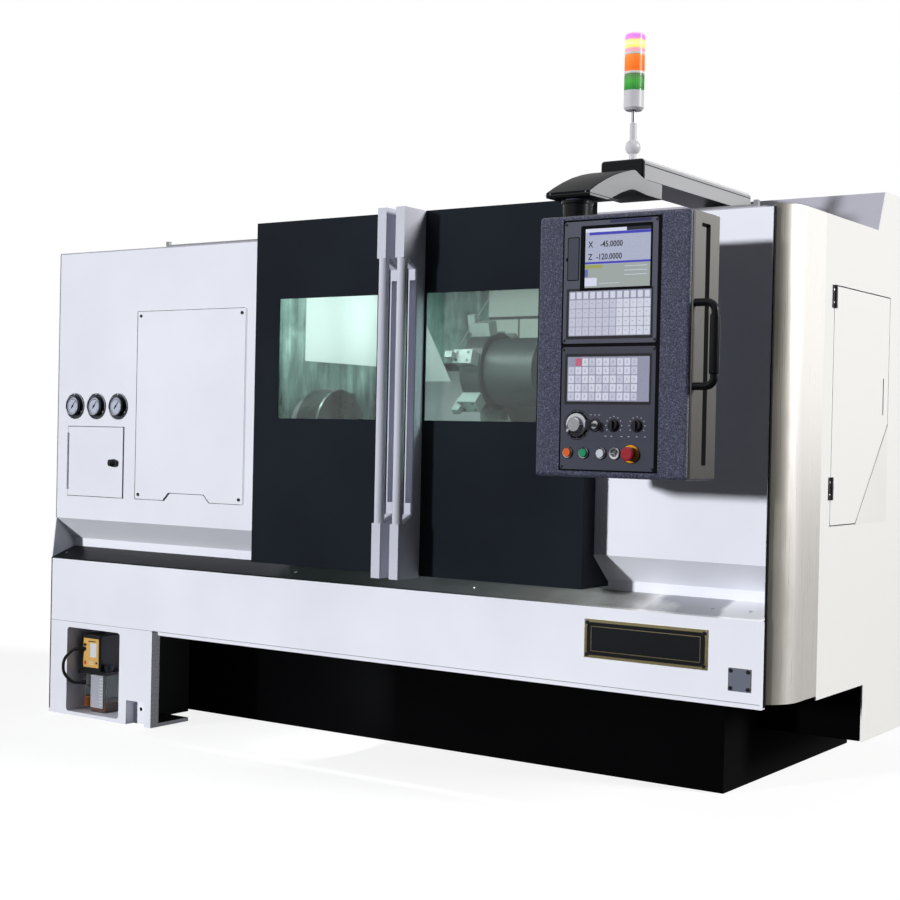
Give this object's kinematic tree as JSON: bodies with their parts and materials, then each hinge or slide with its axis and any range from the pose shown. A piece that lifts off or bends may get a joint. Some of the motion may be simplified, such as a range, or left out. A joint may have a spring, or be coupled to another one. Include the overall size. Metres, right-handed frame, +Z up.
{
  "type": "cnc turning lathe",
  "caption": "Slant-bed turning lathe with sliding front doors, a hanging control pendant, a stack light, a turret, a tailstock and a lubrication unit in its leg.",
  "frame": {"origin": "centre of the bounding box's footprint on the floor", "axes": "+X right along the front, +Y to the back, +Z up; the doors and the pendant face -Y"},
  "size_m": [2.579, 1.711, 1.982],
  "materials": {
    "plinth": "matt black paint",
    "leg_cabinet": "off-white enamel",
    "lower_front_panel": "off-white enamel",
    "sill": "dark brushed stainless",
    "left_cover": "off-white enamel",
    "right_front_panel": "off-white enamel",
    "corner_column": "brushed stainless",
    "right_side_panel": "off-white enamel",
    "rear_hood": "off-white enamel",
    "roof_panel": "off-white enamel",
    "door_rail": "drawn steel",
    "inspection_cover": "off-white enamel",
    "panel_screws": "black oxide screw heads",
    "data_plates": "black plate",
    "pressure_gauges": "black case",
    "hatch_door": "off-white enamel",
    "hatch_latch": "black",
    "side_door": "off-white enamel",
    "oil_tank": "clear reservoir",
    "pump_box": "black housing",
    "tank_caps": "amber plug",
    "pump_cable": "black jacket",
    "left_door": "satin dark grey",
    "left_window": "laminated safety glass",
    "left_handle": "silver paint",
    "right_door": "satin dark grey",
    "right_window": "laminated safety glass",
    "right_handle": "silver paint",
    "boom_arm": "dark grey paint",
    "boom_elbow": "dark grey painted casting",
    "stack_pole": "pale grey",
    "stack_lenses": "coloured lenses",
    "pendant_case": "textured grey paint",
    "pendant_bracket": "textured dark paint",
    "pendant_handle": "black",
    "screen": "lit display",
    "keypads": "pale membrane",
    "handwheel": "turned",
    "left_knob": "black",
    "right_knob": "black",
    "key_switch": "plated",
    "orange_button": "orange cap",
    "green_button": "green cap",
    "white_button": "white cap",
    "estop": "red mushroom head",
    "bed": "grey painted casting",
    "chamber_liner": "zinc sheet",
    "headstock": "grey painted casting",
    "spindle_motor": "dark paint",
    "spindle": "ground steel",
    "chuck": "machined steel",
    "jaw_1": "hard jaws",
    "jaw_2": "hard jaws",
    "jaw_3": "hard jaws",
    "carriage": "machined casting",
    "cross_slide": "machined casting",
    "turret": "machined steel",
    "tool_blocks": "machined blocks",
    "tailstock": "grey painted casting",
    "quill": "ground steel"
  },
  "bodies": {
    "machine": {"plinth": "plinth", "leg_cabinet": "leg_cabinet", "lower_front_panel": "lower_front_panel", "sill": "sill", "left_cover": "left_cover", "right_front_panel": "right_front_panel", "corner_column": "corner_column", "right_side_panel": "right_side_panel", "rear_hood": "rear_hood", "roof_panel": "roof_panel", "door_rail": "door_rail", "inspection_cover": "inspection_cover", "panel_screws": "panel_screws", "data_plates": "data_plates", "pressure_gauges": "pressure_gauges", "oil_tank": "oil_tank", "pump_box": "pump_box", "tank_caps": "tank_caps", "pump_cable": "pump_cable", "bed": "bed", "headstock": "headstock", "spindle_motor": "spindle_motor", "chamber_liner": "chamber_liner"},
    "left_sliding_door": {"left_door": "left_door", "left_window": "left_window", "left_handle": "left_handle"},
    "right_sliding_door": {"right_door": "right_door", "right_window": "right_window", "right_handle": "right_handle"},
    "hatch": {"hatch_door": "hatch_door"},
    "hatch_turn_latch": {"hatch_latch": "hatch_latch"},
    "side_access_door": {"side_door": "side_door"},
    "boom": {"boom_arm": "boom_arm", "boom_elbow": "boom_elbow", "stack_pole": "stack_pole", "stack_lenses": "stack_lenses"},
    "pendant": {"pendant_case": "pendant_case", "pendant_bracket": "pendant_bracket", "pendant_handle": "pendant_handle", "screen": "screen", "keypads": "keypads"},
    "hand_wheel": {"handwheel": "handwheel"},
    "selector_left": {"left_knob": "left_knob"},
    "selector_right": {"right_knob": "right_knob"},
    "key": {"key_switch": "key_switch"},
    "button_orange": {"orange_button": "orange_button"},
    "button_green": {"green_button": "green_button"},
    "button_white": {"white_button": "white_button"},
    "button_estop": {"estop": "estop"},
    "work_spindle": {"spindle": "spindle", "chuck": "chuck"},
    "chuck_jaw_1": {"jaw_1": "jaw_1"},
    "chuck_jaw_2": {"jaw_2": "jaw_2"},
    "chuck_jaw_3": {"jaw_3": "jaw_3"},
    "carriage_slide": {"carriage": "carriage"},
    "cross_slide_unit": {"cross_slide": "cross_slide"},
    "turret_head": {"turret": "turret", "tool_blocks": "tool_blocks"},
    "tailstock_unit": {"tailstock": "tailstock"},
    "quill_sleeve": {"quill": "quill"}
  },
  "joints": [
    {"name": "left_door_slide", "type": "slide", "parent": "machine", "child": "left_sliding_door", "axis": [-1, 0, 0], "range_m": [0, 0.47]},
    {"name": "right_door_slide", "type": "slide", "parent": "machine", "child": "right_sliding_door", "axis": [1, 0, 0], "range_m": [0, 0.455]},
    {"name": "hatch_hinge", "type": "hinge", "parent": "machine", "child": "hatch", "pos_m": [-1.23255, -0.436, 0.834], "axis": [0, 0, -1], "range_deg": [0, 100]},
    {"name": "hatch_latch_turn", "type": "hinge", "parent": "hatch", "child": "hatch_turn_latch", "pos_m": [-1.01755, -0.4335, 0.832], "axis": [0, 1, 0], "range_deg": [0, 90]},
    {"name": "side_door_hinge", "type": "hinge", "parent": "machine", "child": "side_access_door", "pos_m": [1.28605, -0.148, 1.041], "axis": [0, 0, -1], "range_deg": [0, 100]},
    {"name": "boom_swivel", "type": "hinge", "parent": "machine", "child": "boom", "pos_m": [0.83945, 0.1155, 1.6], "axis": [0, 0, 1], "range_deg": [-5, 15]},
    {"name": "pendant_swivel", "type": "hinge", "parent": "boom", "child": "pendant", "pos_m": [0.83945, -0.6945, 1.522], "axis": [0, 0, 1], "range_deg": [-60, 20]},
    {"name": "handwheel_turn", "type": "hinge", "parent": "pendant", "child": "hand_wheel", "pos_m": [0.91545, -0.8055, 0.976], "axis": [0, -1, 0], "continuous": true},
    {"name": "left_selector_turn", "type": "hinge", "parent": "pendant", "child": "selector_left", "pos_m": [1.01245, -0.8055, 0.976], "axis": [0, -1, 0], "range_deg": [-135, 135]},
    {"name": "right_selector_turn", "type": "hinge", "parent": "pendant", "child": "selector_right", "pos_m": [1.07245, -0.8055, 0.976], "axis": [0, -1, 0], "range_deg": [-135, 135]},
    {"name": "key_turn", "type": "hinge", "parent": "pendant", "child": "key", "pos_m": [0.96245, -0.8055, 0.976], "axis": [0, 1, 0], "range_deg": [0, 90]},
    {"name": "orange_button_press", "type": "slide", "parent": "pendant", "child": "button_orange", "axis": [0, 1, 0], "range_m": [0, 0.004], "stiffness_N_per_m": 250, "springref_m": -0.001},
    {"name": "green_button_press", "type": "slide", "parent": "pendant", "child": "button_green", "axis": [0, 1, 0], "range_m": [0, 0.004], "stiffness_N_per_m": 250, "springref_m": -0.001},
    {"name": "white_button_press", "type": "slide", "parent": "pendant", "child": "button_white", "axis": [0, 1, 0], "range_m": [0, 0.004], "stiffness_N_per_m": 250, "springref_m": -0.001},
    {"name": "estop_press", "type": "slide", "parent": "pendant", "child": "button_estop", "axis": [0, 1, 0], "range_m": [0, 0.005]},
    {"name": "spindle_turn", "type": "hinge", "parent": "machine", "child": "work_spindle", "pos_m": [-0.98955, -0.0145, 0.96], "axis": [1, 0, 0], "continuous": true},
    {"name": "jaw_1_slide", "type": "slide", "parent": "work_spindle", "child": "chuck_jaw_1", "axis": [0, 0, 1], "range_m": [-0.004, 0.005]},
    {"name": "jaw_2_slide", "type": "slide", "parent": "work_spindle", "child": "chuck_jaw_2", "axis": [0, -0.866, -0.5], "range_m": [-0.004, 0.005]},
    {"name": "jaw_3_slide", "type": "slide", "parent": "work_spindle", "child": "chuck_jaw_3", "axis": [0, 0.866, -0.5], "range_m": [-0.004, 0.005]},
    {"name": "carriage_travel", "type": "slide", "parent": "machine", "child": "carriage_slide", "axis": [-1, 0, 0], "range_m": [0, 0.24]},
    {"name": "cross_travel", "type": "slide", "parent": "carriage_slide", "child": "cross_slide_unit", "axis": [0, -0.7071, -0.7071], "range_m": [0, 0.16]},
    {"name": "turret_index", "type": "hinge", "parent": "cross_slide_unit", "child": "turret_head", "pos_m": [-0.00955, 0.17288, 1.14738], "axis": [1, 0, 0], "continuous": true},
    {"name": "tailstock_travel", "type": "slide", "parent": "machine", "child": "tailstock_unit", "axis": [1, 0, 0], "range_m": [0, 0.1]},
    {"name": "quill_travel", "type": "slide", "parent": "tailstock_unit", "child": "quill_sleeve", "axis": [-1, 0, 0], "range_m": [0, 0.07]}
  ],
  "couplings": [
    {"joint": "jaw_2_slide", "follows": "jaw_1_slide", "ratio": 1},
    {"joint": "jaw_3_slide", "follows": "jaw_1_slide", "ratio": 1}
  ]
}
